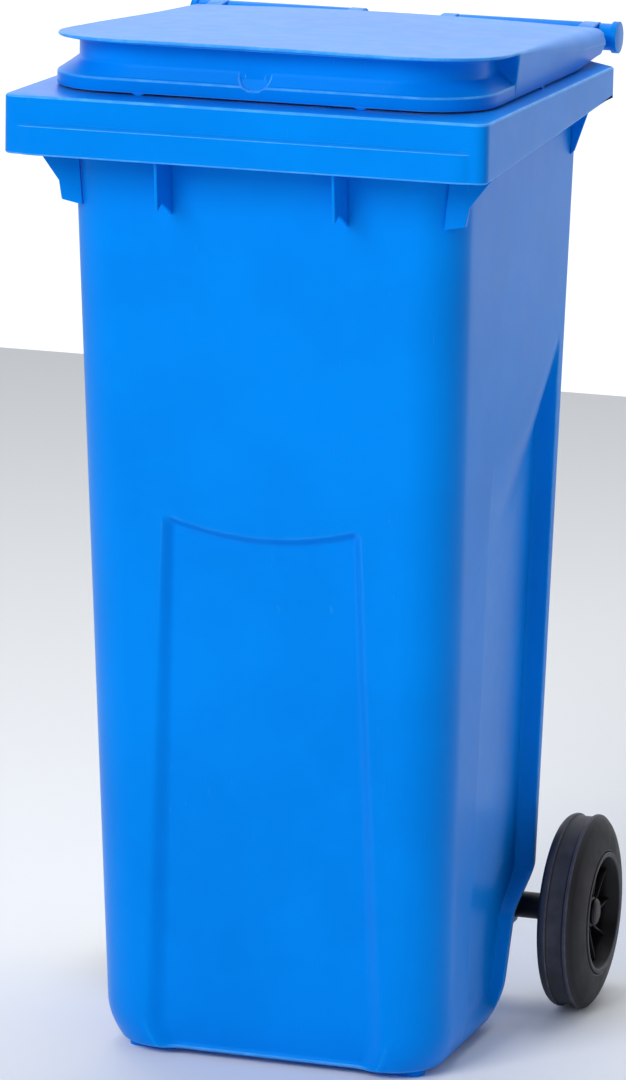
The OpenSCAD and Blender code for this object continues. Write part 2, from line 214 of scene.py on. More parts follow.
class Graph:
    """Shorthand for adding nodes to a material or a world."""

    def __init__(self, owner):
        self.tree = owner.node_tree

    def add(self, kind, settings=None, **inputs):
        node = self.tree.nodes.new(kind)
        for key, value in (settings or {}).items():
            setattr(node, key, value)
        for key, value in inputs.items():
            self.feed(node.inputs[key], value)
        return node

    def link(self, a, b):
        self.tree.links.new(a, b)

    def feed(self, socket, value):
        """Links value to the socket, or sets it there if it is a number or a colour."""
        if isinstance(value, bpy.types.NodeSocket):
            self.link(value, socket)
        else:
            socket.default_value = value

    def coords(self):
        return self.add("ShaderNodeTexCoord").outputs["Object"]

    def noise(self, scale, detail, rough, vector):
        return self.add("ShaderNodeTexNoise", Vector=vector, Scale=scale, Detail=detail,
                        Roughness=rough).outputs["Fac"]

    def ramp(self, fac, low, high, a, b):
        """fac from low..high mapped to a..b, with a smooth start and end."""
        node = self.add("ShaderNodeMapRange", {"interpolation_type": "SMOOTHSTEP"}, Value=fac)
        node.inputs["From Min"].default_value = low
        node.inputs["From Max"].default_value = high
        node.inputs["To Min"].default_value = a
        node.inputs["To Max"].default_value = b
        return node.outputs["Result"]

    def blend(self, fac, a, b):
        """Colour a at fac 0, and colour b at fac 1."""
        node = self.add("ShaderNodeMix", {"data_type": "RGBA"})
        factor, colour_a, colour_b = node.inputs[0], node.inputs[6], node.inputs[7]
        self.feed(factor, fac)
        self.feed(colour_a, a)
        self.feed(colour_b, b)
        return node.outputs[2]

    def maths(self, op, a, b):
        node = self.add("ShaderNodeMath", {"operation": op})
        self.feed(node.inputs[0], a)
        self.feed(node.inputs[1], b)
        return node.outputs[0]

    def bump(self, height, strength, distance, normal=None):
        node = self.add("ShaderNodeBump", Height=height, Strength=strength, Distance=distance)
        if normal is not None:
            self.link(normal, node.inputs["Normal"])
        return node.outputs["Normal"]


def moulded_blue():
    """Blue polyethylene: soft gloss, faint orange peel, slow colour drift and paler edges that are a
    painted highlight.
    """
    mat, bsdf = material("blue_plastic")
    g = Graph(mat)
    where = g.coords()
    drift = g.noise(5.0, 3, 0.5, where)
    cloud = g.noise(38.0, 5, 0.6, where)
    colour = g.blend(g.ramp(drift, 0.35, 0.65, 0, 1), (0.0, 0.220, 0.80, 1), (0.0, 0.245, 0.87, 1))
    colour = g.blend(g.ramp(cloud, 0.45, 0.75, 0, 0.25), colour, (0.0, 0.255, 0.88, 1))
    # Painted highlight: sharp convex edges turn paler, broken up by noise.
    edges = g.add("ShaderNodeAttribute", {"attribute_name": "edge"}).outputs["Fac"]
    highlight_breakup = g.ramp(g.noise(60, 4, 0.6, where), 0.4, 0.7, 0.55, 1)
    pale_edge_mask = g.maths("MULTIPLY", g.ramp(edges, 0.05, 0.8, 0, 0.8), highlight_breakup)
    colour = g.blend(pale_edge_mask, colour, (0.10, 0.45, 0.98, 1))
    # Fine scuffs: short stretched marks.
    stretch = g.add("ShaderNodeMapping", Vector=where)
    stretch.inputs["Scale"].default_value = (1.0, 1.0, 0.12)
    stretch.inputs["Rotation"].default_value = (0.3, 0.5, 0.2)
    marks = g.ramp(g.noise(420, 2, 0.6, stretch.outputs[0]), 0.68, 0.76, 0, 1)
    marks = g.maths("MULTIPLY", marks, g.ramp(g.noise(7, 2, 0.5, where), 0.5, 0.62, 0, 1))
    colour = g.blend(g.maths("MULTIPLY", marks, 0.18), colour, (0.10, 0.42, 0.92, 1))
    g.link(colour, bsdf.inputs["Base Color"])
    rough = g.ramp(cloud, 0.3, 0.7, 0.31, 0.35)
    rough = g.maths("ADD", rough, g.maths("MULTIPLY", marks, 0.12))
    g.link(rough, bsdf.inputs["Roughness"])
    bsdf.inputs["Specular IOR Level"].default_value = 0.15
    bsdf.inputs["Specular Tint"].default_value = (0.10, 0.45, 1.0, 1)
    peel = g.noise(240, 2, 0.5, where)
    waves = g.noise(9, 2, 0.4, where)
    normal = g.bump(waves, 0.10, 0.003)
    normal = g.bump(peel, 0.16, 0.0004, normal)
    g.link(normal, bsdf.inputs["Normal"])
    return mat


def rubber():
    """Solid tyre rubber: matt charcoal, paler on its ridges from dust and a painted highlight, with a
    fine grain.
    """
    mat, bsdf = material("tyre")
    g = Graph(mat)
    where = g.coords()
    blotch = g.noise(26, 5, 0.6, where)
    colour = g.blend(g.ramp(blotch, 0.35, 0.7, 0, 1), (0.034, 0.034, 0.042, 1), (0.062, 0.062, 0.076, 1))
    normal = g.add("ShaderNodeNewGeometry").outputs["Normal"]
    facing = g.add("ShaderNodeSeparateXYZ", Vector=normal).outputs["X"]
    # The flanks, which face along the axle, are darker than the tread: painted shade.
    flank_shade = g.ramp(g.maths("ABSOLUTE", facing, 0.0), 0.5, 0.85, 0, 0.9)
    colour = g.blend(flank_shade, colour, (0.010, 0.009, 0.011, 1))
    # Ridges and edges paler: partly dust, partly painted highlight.
    edges = g.add("ShaderNodeAttribute", {"attribute_name": "edge"}).outputs["Fac"]
    patches = g.ramp(g.noise(90, 4, 0.6, where), 0.3, 0.7, 0.3, 1)
    dust_and_highlight = g.maths("MULTIPLY", g.ramp(edges, 0.1, 1.0, 0, 0.8), patches)
    colour = g.blend(dust_and_highlight, colour, (0.11, 0.11, 0.15, 1))
    g.link(colour, bsdf.inputs["Base Color"])
    g.link(g.ramp(blotch, 0.3, 0.7, 0.50, 0.66), bsdf.inputs["Roughness"])
    bsdf.inputs["Specular IOR Level"].default_value = 0.2
    grain = g.noise(900, 3, 0.6, where)
    g.link(g.bump(blotch, 0.2, 0.0012, g.bump(grain, 0.35, 0.0003)), bsdf.inputs["Normal"])
    return mat


def black_moulding():
    """Black moulded plastic of the wheel centres and spacers."""
    mat, bsdf = material("black_plastic")
    g = Graph(mat)
    where = g.coords()
    blotch = g.noise(45, 4, 0.55, where)
    colour = g.blend(g.ramp(blotch, 0.35, 0.7, 0, 1), (0.005, 0.005, 0.006, 1), (0.012, 0.012, 0.015, 1))
    # Painted highlight: sharp edges made paler.
    edges = g.add("ShaderNodeAttribute", {"attribute_name": "edge"}).outputs["Fac"]
    colour = g.blend(g.ramp(edges, 0.1, 1.0, 0, 0.5), colour, (0.07, 0.07, 0.09, 1))
    g.link(colour, bsdf.inputs["Base Color"])
    g.link(g.ramp(blotch, 0.3, 0.7, 0.38, 0.52), bsdf.inputs["Roughness"])
    bsdf.inputs["Specular IOR Level"].default_value = 0.22
    g.link(g.bump(g.noise(700, 2, 0.5, where), 0.18, 0.0003), bsdf.inputs["Normal"])
    return mat


def zinc():
    """Zinc plated steel of the axle, with drawn lines along it."""
    mat, bsdf = material("steel")
    g = Graph(mat)
    where = g.coords()
    stretch = g.add("ShaderNodeMapping", Vector=where)
    stretch.inputs["Scale"].default_value = (0.03, 1.0, 1.0)
    lines = g.noise(900, 3, 0.6, stretch.outputs[0])
    spangle = g.add("ShaderNodeTexVoronoi", Vector=where, Scale=240).outputs["Distance"]
    colour = g.blend(g.ramp(spangle, 0.2, 0.8, 0, 1), (0.42, 0.43, 0.45, 1), (0.58, 0.59, 0.60, 1))
    g.link(colour, bsdf.inputs["Base Color"])
    bsdf.inputs["Metallic"].default_value = 1.0
    g.link(g.ramp(lines, 0.3, 0.7, 0.26, 0.42), bsdf.inputs["Roughness"])
    g.link(g.bump(lines, 0.15, 0.0002), bsdf.inputs["Normal"])
    return mat


BLUE = moulded_blue()
RUBBER = rubber()
BLACK = black_moulding()
STEEL = zinc()


# ---- The bin's body: tub and rim as one moulding ----

WALL = 4.0
TUB_TOP = RIM_TOP - WALL
TOP_HW, LOW_HW = 201.0, 180.0
TOP_FRONT, LOW_FRONT = 53.0, 113.0
TUB_REAR = 470.0
BASE_H = cad_mm("tub")[0][2]
LOW_H = 80.0
BASE_IN = 13.0
NOTCH_LOW, NOTCH_HIGH, NOTCH_Y, BASE_Y = 106.0, 150.0, 388.0, 352.0
REAR_ROUND, REAR_SLOPE = 20.0, 12.0
PANEL_TOP, PANEL_SAG, FRONT_RECESS = 556.0, 13.0, 9.0
PANEL_SLOPE_LOW, PANEL_SLOPE_HIGH, PANEL_TOE = 22.0, 12.0, 0.55
SIDE_FRONT, SIDE_REAR, SIDE_STEP = 226.0, 428.0, 7.0
SIDE_RECESS, SIDE_SHALLOW, SIDE_TOP, SIDE_RISE, SIDE_RAMP = 19.0, 4.0, 612.0, 92.0, 100.0


def down(z):
    return (TUB_TOP - z) / (TUB_TOP - LOW_H)


def base_round(z):
    return BASE_IN * np.clip((LOW_H - 30 - z) / (LOW_H - 30 - BASE_H), 0, 1) ** 2


def tub_hw(z):
    return mix(TOP_HW, LOW_HW, down(z)) - base_round(z)


def tub_front(z):
    return mix(TOP_FRONT, LOW_FRONT, down(z)) + base_round(z) * 0.5


def tub_back(z):
    low = mix(BASE_Y, NOTCH_Y, np.clip(z / NOTCH_LOW, 0, 1))
    high = TUB_REAR - REAR_SLOPE * down(z)
    return mix(low, high, smooth(NOTCH_LOW, NOTCH_HIGH, z)) - base_round(z) * 0.4


def front_round(z):
    return mix(48, 52, down(z))


def panel_slope(z):
    return mix(PANEL_SLOPE_LOW, PANEL_SLOPE_HIGH, min(z / PANEL_TOP, 1.0))


def panel_hw(z):
    return min(mix(105, 90, z / PANEL_TOP), tub_hw(z) - front_round(z) - panel_slope(z) - 1)


def panel_depth(x, z):
    inside = 1 - smooth(panel_hw(z), panel_hw(z) + panel_slope(z), np.abs(x))
    below = 1 - smooth(PANEL_TOP - 8, PANEL_TOP + 3, z + PANEL_SAG * (1 - (x / 90) ** 2))
    return FRONT_RECESS * inside * below * mix(PANEL_TOE, 1, smooth(10, 15, z))


def side_back(z):
    return min(SIDE_REAR, tub_back(z) - REAR_ROUND - SIDE_STEP - 2)


def side_depth(y, z):
    t = np.clip((y - SIDE_FRONT) / (SIDE_REAR - SIDE_FRONT), 0, 1)
    back = side_back(z)
    along = smooth(SIDE_FRONT - 12, SIDE_FRONT, y) * (1 - smooth(back, back + SIDE_STEP, y))
    return (mix(SIDE_SHALLOW, SIDE_RECESS, t) * along
            * (1 - smooth(-SIDE_RAMP, 0, z - SIDE_TOP - SIDE_RISE * t * t)) * smooth(20, 40, z))


def tub_row(z, t=0.0, height=None):
    """The tub's outline at height z drawn in by t. height moves the row without changing its shape."""
    hw, front, back = tub_hw(z) - t, tub_front(z) + t, tub_back(z) - t
    r_front = front_round(z) - t
    w = panel_hw(z)
    xs = spread((0, 20), (w - 1, 10), (w + panel_slope(z) + 1, 6), hw - r_front)
    rear = side_back(z)
    ys = spread((front + r_front, 10), (SIDE_FRONT - 13, 7), (SIDE_FRONT + 1, 26), (rear - 1, 9),
                (rear + SIDE_STEP + 1, 2), back - (REAR_ROUND - t))
    flat = ring(hw, front, back, xs, ys, arc(hw - r_front, front + r_front, r_front, -90),
                arc(hw - REAR_ROUND + t, back - REAR_ROUND + t, REAR_ROUND - t, 0))
    x, y = flat[:, 0], flat[:, 1]
    on_front = np.abs(y - front) < 1e-6
    on_side = np.abs(np.abs(x) - hw) < 1e-6
    flat[:, 1] = np.where(on_front, y + panel_depth(x, z), y)
    flat[:, 0] = np.where(on_side, x - np.sign(x) * side_depth(y, z), x)
    return lift(flat, z if height is None else height)


FRONT_COUNT = 20 + 10 + 6 + 1
SIDE_COUNT = 10 + 7 + 26 + 9 + 2 + 1

SKIRT_IN = 7.1                             # from the rim's outline to the skirt's inner face
STEP_Z = RIM_TOP - 28
STEP_IN = 3.5                              # how far the front steps back above STEP_Z
CHAMFER = 33.0                             # what the rear corners lose on each side
OCTAGON = 0.586                            # how much shorter a chamfer gets per mm drawn in
SKIRT_FRONT, SKIRT_REAR = 57.0, 28.0       # the skirt's depth below the rim's top
SKIRT_LEVEL = 12.0                         # from here back the skirt's lower edge rises
RIM_CORNER = 32.0                          # the corner's points lie on rays from this far in
PAD_R, TOP_R = 30.0, 11.0                  # the front corners' radii below and above the step


def rim_row(t, z, pad=1.0):
    """The rim's outline drawn in by t. A pad stands out at the front by pad times the step."""
    hw, front, back = RIM_HW - t, t + STEP_IN * (1 - pad), RIM_D - t
    boxes = [(STEP_IN + t, max(TOP_R - t, 1.0))]
    if pad > 0:
        boxes.append((front, PAD_R - t))
    cut = CHAMFER - OCTAGON * t
    fillet = max(6 - t * 0.5, 2.0)
    reach = fillet * math.tan(math.radians(22.5))
    cx = RIM_HW - RIM_CORNER
    xs = np.linspace(0, cx, FRONT_COUNT)
    ys = np.linspace(RIM_CORNER, back - cut - reach, SIDE_COUNT)
    flat = ring(hw, front, back, xs, ys, ray_corner(hw, boxes, cx, RIM_CORNER),
                chamfer(hw, back, cut, fillet))
    xs_back = np.linspace(hw - cut - reach, 0, FRONT_COUNT + 1)[1:]
    start = FRONT_COUNT + CORNER - 2 + SIDE_COUNT + CORNER - 1
    flat[start:start + FRONT_COUNT, 0] = xs_back
    flat[start + FRONT_COUNT - 1:start + 2 * FRONT_COUNT - 1, 0] = -xs_back[::-1]
    z = z(flat) if callable(z) else z
    return lift(flat, z)


def skirt_low(extra=0.0):
    """Height of the skirt's lower edge: level at the front, then rising to the back."""
    def height(flat):
        along = (flat[:, 1] - SKIRT_LEVEL) / (RIM_D + 5 - SKIRT_LEVEL)
        rise = (SKIRT_FRONT - SKIRT_REAR) * np.clip(along, 0, 1)
        return RIM_TOP - SKIRT_FRONT + rise + extra
    return height


def fillet_rows(make, inset, height, r, start, sweep, count=5):
    """Rows round an edge in section: make(inset, height) at each step."""
    rows = []
    for a in np.radians(start + np.linspace(0, sweep, count)):
        rows.append(make(inset + r * math.cos(a), height + r * math.sin(a)))
    return rows


def body_rows():
    base = [shrink(tub_row(BASE_H, 3.0), f) for f in (0.05, 0.35, 0.65, 0.9)]
    edge = [tub_row(BASE_H, 3.0), tub_row(BASE_H, 1.2, BASE_H + 0.4), tub_row(BASE_H, 0.3, BASE_H + 1.4)]
    heights = spread((BASE_H + 2, 8), (17, 8), (50, 10), (102, 16), (158, 40), (530, 16), (560, 8),
                     (592, 44), (712, 30), TUB_TOP - 6)
    outer = [tub_row(z) for z in heights]
    limit = RIM_D - SKIRT_IN - 0.4

    def under(t, z):
        row = tub_row(TUB_TOP, t, z)
        row[:, 1] = np.minimum(row[:, 1], limit)
        return row

    root = fillet_rows(under, -5, TUB_TOP - 5, 5, 0, 90)
    skirt = fillet_rows(lambda t, z: rim_row(t, z), SKIRT_IN + 3, TUB_TOP - 3, 3, 90, 90)
    skirt += [rim_row(SKIRT_IN, lambda f: mix(TUB_TOP - 3, skirt_low()(f), 0.5))]
    low = 2.2
    skirt += fillet_rows(lambda t, z: rim_row(t, skirt_low(z)), SKIRT_IN - low, low, low, 0, -90, 4)
    skirt += fillet_rows(lambda t, z: rim_row(t, skirt_low(z)), low, low, low, -90, -90, 5)
    side = [rim_row(0, lambda f: mix(skirt_low(low)(f), STEP_Z - 3, 0.5)), rim_row(0, STEP_Z - 3)]
    step = [rim_row(0, STEP_Z + up, pad) for up, pad in
            ((-1.9, 1), (-1.2, 0.985), (-0.7, 0.93), (1.9, 0.08), (2.4, 0.015), (3.1, 0))]
    top = [rim_row(0, mix(STEP_Z, RIM_TOP, 0.5), 0)]
    top += fillet_rows(lambda t, z: rim_row(t, z, 0), 2.6, RIM_TOP - 2.6, 2.6, 180, -90, 7)
    mouth = []
    for t, z in ((0.5, RIM_TOP), (2.6, RIM_TOP - 0.5), (3.7, RIM_TOP - 1.6), (WALL, RIM_TOP - 3.2)):
        mouth.append(tub_row(TUB_TOP, t, z))
    inner = [tub_row(z, WALL) for z in heights[::-1][1::2] if z > BASE_H + WALL + 8]
    floor = BASE_H + WALL
    well = [tub_row(floor + 6, WALL + 0.5), tub_row(floor, WALL + 2.5, floor + 2),
            tub_row(floor, WALL + 7, floor)]
    well += [shrink(well[-1], f) for f in (0.9, 0.6, 0.3, 0.05)]
    return base + edge + outer + root + skirt + side + step + top + mouth + inner + well


verts, faces = loft_data(body_rows())
body = make_mesh("body_moulding", place(verts), faces, "bin", BLUE)
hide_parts("tub", "rim")


# ---- The lid: one moulding with a recessed grip lip ----

LID_HW = 220.0
LID_FRONT, LID_REAR = 45.0, cad_mm("lid_shell")[1][1]
LID_WALL = 3.0
LID_CORNER, LIP_CORNER = 65.0, 97.0
LIP_FRONT, LIP_HW = 31.0, 224.0
LIP_H, LID_FALL = 54.0, 21.0
LID_GAP, LID_SKIRT, BAND_H = 2.0, 14.0, 28.0
WALL_HW, WALL_Y, WALL_R = 204.0, 53.0, 77.0
RECESS_END = 165.0
SCOOP_X, SCOOP_R = -3.0, 17.0
CROWN_HW = 196.0                           # the top is arched between these half widths
REAR_EASE = 9.0                            # rounding of the top's rear edge
REAR_R = 16.0                              # radius of the rear corners seen from above
LIP_HALF = 1.7                             # half the lip's thickness
SKIRT_R = 2.5                              # rounding of the skirt's upper edge
LID_CX, LID_CY = 127.0, 130.0              # the corners' points lie on rays from here
LID_CORNER_COUNT = 26


def lid_top(y):
    return RIM_TOP + LIP_H - LID_FALL * (y - LIP_FRONT) / (LID_REAR - LIP_FRONT)


def lid_low(y):
    return RIM_TOP + LID_GAP + 6 * smooth(370, 470, y)


def lid_flat(hw, front, r, t=0.0, rear_r=REAR_R):
    xs = spread((0, 30), (24, 12), LID_CX)
    ys = spread((LID_CY, 8), (RECESS_END - 4, 12), (RECESS_END + 4, 34), LID_REAR - t - rear_r)
    return ring(hw - t, front + t, LID_REAR - t, xs, ys,
                ray_corner(hw - t, [(front + t, r - t)], LID_CX, LID_CY, LID_CORNER_COUNT),
                arc(hw - t - rear_r, LID_REAR - t - rear_r, rear_r, 0))


def behind(flat):
    return smooth(RECESS_END - 1.8, RECESS_END + 1.8, flat[:, 1])


def lid_wall_row(full_hw, z, t=0.0):
    """The wall under the lip: drawn in at the front and sides, and full width behind the recess."""
    inner = lid_flat(WALL_HW, WALL_Y, WALL_R, t)
    outer = lid_flat(full_hw, WALL_Y, WALL_R, t)
    k = behind(inner)
    flat = inner.copy()
    flat[:, 0] = mix(inner[:, 0], outer[:, 0], k)
    z = z(flat, k) if callable(z) else z
    return lift(flat, z)


def scoop(row):
    """Pushes the front of the band in to a half-round finger scoop."""
    reach = np.hypot(row[:, 0] - SCOOP_X, row[:, 2] - (RIM_TOP + BAND_H))
    k = (1 - smooth(SCOOP_R - 2.2, SCOOP_R, reach)) * (row[:, 1] < WALL_Y + 4)
    out = row.copy()
    out[:, 1] = np.where(k > 0, mix(row[:, 1], np.maximum(row[:, 1], WALL_Y - 0.5), k), row[:, 1])
    return out


def shoulder(y):
    """Radius between the top and the side wall, behind the recess."""
    return mix(3, 15, smooth(RECESS_END, 400, y))


def lid_crown(x, y):
    """How far the top stands above its straight side edge."""
    t = np.clip((y - LIP_FRONT) / (LID_REAR - LIP_FRONT), 0, 1)
    rise = mix(1.5, 3.5, t) * (1 - np.clip(np.abs(x) / CROWN_HW, 0, 1) ** 2)
    r = mix(LIP_HALF, shoulder(y), smooth(RECESS_END - 2, RECESS_END + 2, y))
    over = np.clip(np.abs(x) - (LIP_HW - r), 0, r)
    back = np.clip(y - (LID_REAR - REAR_EASE), 0, REAR_EASE)
    return (rise - (r - np.sqrt(np.maximum(r ** 2 - over ** 2, 0)))
            - (REAR_EASE - np.sqrt(np.maximum(REAR_EASE ** 2 - back ** 2, 0))))


def over_top(flat):
    return lift(flat, lid_top(flat[:, 1]) + lid_crown(flat[:, 0], flat[:, 1]))


def plain_wall(row, share):
    """Behind the recess the side is one smooth wall: row moves to this share of the wall's height."""
    k = behind(row)
    y = row[:, 1]
    foot, head = lid_low(y) + 1.3, lid_top(y) - shoulder(y)
    out = row.copy()
    side = lid_flat(mix(LID_HW, LIP_HW, share), LIP_FRONT, LIP_CORNER)[:, 0]
    out[:, 0] = mix(row[:, 0], side, k)
    out[:, 2] = mix(row[:, 2], mix(foot, head, share), k)
    return out


def lid_rows():
    rows = []
    t = LID_WALL
    # Underside of the top, then down the inside of the wall and the skirt.
    ceiling = lid_wall_row(LID_HW + 3, 0, t + 3)
    for f in (0.05, 0.25, 0.5, 0.75, 0.9):
        flat = shrink(ceiling, f)[:, :2]
        rows.append(over_top(flat) - (0, 0, t))

    def inner(depth, share):
        """Heights this far under the top, and lower still where the shoulder rounds off outside."""
        return lambda f, k: (lid_top(f[:, 1]) - t - depth
                             - share * (14 * k * smooth(RECESS_END, 400, f[:, 1])))

    rows.append(lid_wall_row(LID_HW - 1, inner(1.5, 0.5), t + 3))
    rows.append(lid_wall_row(LID_HW + 1, inner(4, 1), t))
    rows.append(lid_wall_row(LID_HW + 1, RIM_TOP + BAND_H - t / 2, t))
    skirt_z = RIM_TOP + LID_GAP + LID_SKIRT
    inside = lid_flat(LID_HW, LID_FRONT, LID_CORNER, t)
    rows.append(lift(inside, skirt_z - t / 2))
    low = lid_low(inside[:, 1])
    rows.append(lift(inside, low + 1.2))
    rows.append(lift(lid_flat(LID_HW, LID_FRONT, LID_CORNER, t - 0.6), low + 0.2))
    rows.append(lift(lid_flat(LID_HW, LID_FRONT, LID_CORNER, 1.2), low))
    rows.append(lift(lid_flat(LID_HW, LID_FRONT, LID_CORNER, 0.35), low + 0.4))
    outline = lid_flat(LID_HW, LID_FRONT, LID_CORNER)
    low = lid_low(outline[:, 1]) + 1.3
    # From here each row has its place in front, and behind the recess a share of the plain wall.
    outer = [(lift(outline, low), 0.0)]
    for k in (0.35, 0.6, 0.8, 0.9):
        outer.append((scoop(lift(outline, mix(low, skirt_z - SKIRT_R, k))), 0.3 * k))
    for a in np.radians((0, 25, 50, 75)):
        t_in = SKIRT_R * (1 - math.cos(a))
        flat = lid_flat(LID_HW, LID_FRONT, LID_CORNER, t_in)
        outer.append((scoop(lift(flat, skirt_z - SKIRT_R + SKIRT_R * math.sin(a))), 0.3 + a * 0.06))
    start = outer[-1][0]
    foot_z = RIM_TOP + BAND_H
    foot = lid_wall_row(LID_HW, foot_z)
    for k in np.linspace(0.1, 0.86, 9):
        outer.append((scoop(mix(start, foot, k)), 0.38 + 0.2 * k))
    outer.append((mix(foot, lid_wall_row(LID_HW, foot_z + 0.6), 0.5), 0.57))
    outer.append((lid_wall_row(LID_HW, foot_z + 2.4), 0.6))
    for k in (0.3, 0.6, 0.85, 1.0):
        row = lid_wall_row(LID_HW, lambda f, _, k=k: mix(foot_z + 2.4, lid_top(f[:, 1]) - 7, k))
        outer.append((row, 0.6 + 0.2 * k))
    wall = outer[-1][0]
    lip = lid_flat(LIP_HW, LIP_FRONT, LIP_CORNER)
    plate = lift(lip, lid_top(lip[:, 1]) - 3.4)
    for f, h in ((0.06, 0.55), (0.16, 0.85), (0.3, 1.0), (0.6, 1.0), (0.92, 1.0)):
        row = wall.copy()
        row[:, :2] = mix(wall[:, :2], plate[:, :2], f)
        row[:, 2] = mix(wall[:, 2], plate[:, 2], h)
        outer.append((row, 0.8 + 0.19 * f))
    rows += [plain_wall(row, share) for row, share in outer]
    # Round the lip's edge in front, and up the shoulder behind.
    for a, up in zip(np.radians((-75, -40, 0, 35, 65)), np.radians((0, 6, 12, 18, 24))):
        flat = lid_flat(LIP_HW, LIP_FRONT, LIP_CORNER, LIP_HALF * (1 - math.cos(a)))
        y = flat[:, 1]
        k = behind(flat)
        front = (lid_top(y) + LIP_HALF * math.sin(a) - LIP_HALF
                 + lid_crown(np.clip(flat[:, 0], -CROWN_HW, CROWN_HW), y))
        r = shoulder(y)
        over = r * (1 - math.cos(up))
        side = lid_flat(LIP_HW, LIP_FRONT, LIP_CORNER)
        back_x = np.abs(side[:, 0]) - over * (np.abs(side[:, 0]) > 190)
        rear = lid_top(y) - r + r * math.sin(up) - np.where(y > LID_REAR - REAR_EASE, 2, 0)
        out = lift(flat, mix(front, rear, k))
        out[:, 0] = mix(flat[:, 0], np.sign(flat[:, 0]) * back_x, k)
        rows.append(out)
    for inset in spread((1.9, 5), (6, 5), (16, 3), (26, 2), 46):
        rows.append(over_top(lid_flat(LIP_HW, LIP_FRONT, LIP_CORNER, inset, max(REAR_R - inset, 2))))
    edge = rows[-1]
    for f in np.linspace(0.93, 0.03, 16):
        rows.append(over_top(shrink(edge, f)[:, :2]))
    return rows


verts, faces = loft_data(lid_rows())
lid = make_mesh("lid_moulding", place(verts), faces, "lid", BLUE)
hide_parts("lid_shell")


# ---- Wheels ----

WHEEL_TURN = 144                           # points round a wheel
ROUND_COUNT = 5                            # points round a profile's corner


def revolve(profile):
    """A closed surface from a closed profile of (radius, distance along the axis) points."""
    rows = []
    for r, along in profile:
        a = np.linspace(0, 2 * math.pi, WHEEL_TURN, endpoint=False)
        rows.append(np.stack([np.full(WHEEL_TURN, along), r * np.cos(a), r * np.sin(a)], 1))
    return loft_data(rows, caps=False, wrap=True)


def rounded(points):
    """A closed profile with its corners rounded: each point is (radius, along, corner radius)."""
    out = []
    n = len(points)
    for i in range(n):
        a, b, c = (np.array(points[j % n][:2], float) for j in (i - 1, i, i + 1))
        r = points[i][2]
        to_a, to_c = a - b, c - b
        la, lc = np.linalg.norm(to_a), np.linalg.norm(to_c)
        reach = min(r, la * 0.48, lc * 0.48)
        p, q = b + to_a / la * reach, b + to_c / lc * reach
        if reach < 0.05:
            out.append(b)
            continue
        for t in np.linspace(0, 1, ROUND_COUNT):
            out.append((1 - t) ** 2 * p + 2 * t * (1 - t) * b + t * t * q)
    return out


def wheel_place(verts, side):
    """Local X runs outwards from the wheel's inner face; the axis is the wheel's own."""
    low, high = cad_mm("tyre_right")
    centre = (low + high) / 2
    x = (low[0] + verts[:, 0]) * side
    return place(np.stack([x, centre[1] + verts[:, 1], centre[2] + verts[:, 2]], 1))


WHEEL_W = cad_mm("hub_right")[1][0] - cad_mm("tyre_right")[0][0]
HUB_R = 60.0

TYRE_PROFILE = [
    (HUB_R, 6, 1), (68, 2, 3), (84, 0, 4), (93, 0.5, 4), (97.5, 4, 3), (99.4, 8, 1.5), (99.4, 10.5, 1),
    (97, 12.6, 1.2), (97, WHEEL_W - 18.6, 1.2), (100, WHEEL_W - 16.6, 1.0), (100, WHEEL_W - 13.8, 1.5),
    (94.5, WHEEL_W - 8.6, 4), (84, WHEEL_W - 4.2, 6), (72, WHEEL_W - 1.8, 5), (64.2, WHEEL_W - 0.9, 1.2),
    (62.6, WHEEL_W - 3.0, 0.5), (HUB_R, WHEEL_W - 3.4, 0.5)]

HUB_PROFILE = [
    (52.5, 8, 1), (HUB_R - 0.05, 8, 0.8), (HUB_R - 0.05, WHEEL_W - 3.3, 0.4), (62.4, WHEEL_W - 2.9, 0.5),
    (62.6, WHEEL_W, 1.6), (58.0, WHEEL_W, 1.4), (53.4, WHEEL_W - 14, 3), (52.6, 18.5, 2),
    (15.4, 18.5, 2), (15.4, WHEEL_W - 12.5, 1.2), (12.6, WHEEL_W - 11.2, 0.6),
    (12.4, WHEEL_W - 15, 0.3), (10.4, WHEEL_W - 15.6, 0.3), (10.3, 1, 0.6), (15.6, 0.4, 1),
    (16, 14.2, 1.5), (52.5, 14.2, 1)]

RIBS = 9
RIB_T = 1.7                                # half a rib's thickness at its foot
RIB_IN, RIB_OUT, RIB_REACH = 14.6, 54.5, 40.0
RIB_BEND = 0.34
RIB_FOOT = 16.5


def hub_ribs():
    """Curved ribs between the barrel and the hub's rim, tapering to their tops."""
    verts, faces = [], []
    steps = 14
    for k in range(RIBS):
        start = 2 * math.pi * (k + 0.5) / RIBS
        rows = []
        for r in np.linspace(RIB_IN, RIB_OUT, steps):
            bend = start + RIB_BEND * math.sin((r - RIB_IN) / RIB_REACH * math.pi * 0.5)
            along = np.array([math.cos(bend), math.sin(bend)])
            across = np.array([-along[1], along[0]])
            top = mix(WHEEL_W - 14.5, WHEEL_W - 10.5, (r - RIB_IN) / RIB_REACH)
            section = [(-RIB_T, RIB_FOOT), (-RIB_T * 0.8, top - 1.0), (-RIB_T * 0.45, top - 0.25),
                       (0, top), (RIB_T * 0.45, top - 0.25), (RIB_T * 0.8, top - 1.0),
                       (RIB_T, RIB_FOOT)]
            rows.append([(x, *(along * r + across * s)) for s, x in section])
        base = len(verts)
        m = len(rows[0])
        for row in rows:
            verts.extend(row)
        for i in range(steps - 1):
            for j in range(m):
                a, b = base + i * m + j, base + i * m + (j + 1) % m
                faces.append((a, b, b + m, a + m))
        faces.append(tuple(base + j for j in range(m))[::-1])
        faces.append(tuple(base + (steps - 1) * m + j for j in range(m)))
    return np.array(verts), faces


def flip(faces, side):
    return faces if side > 0 else [tuple(reversed(f)) for f in faces]


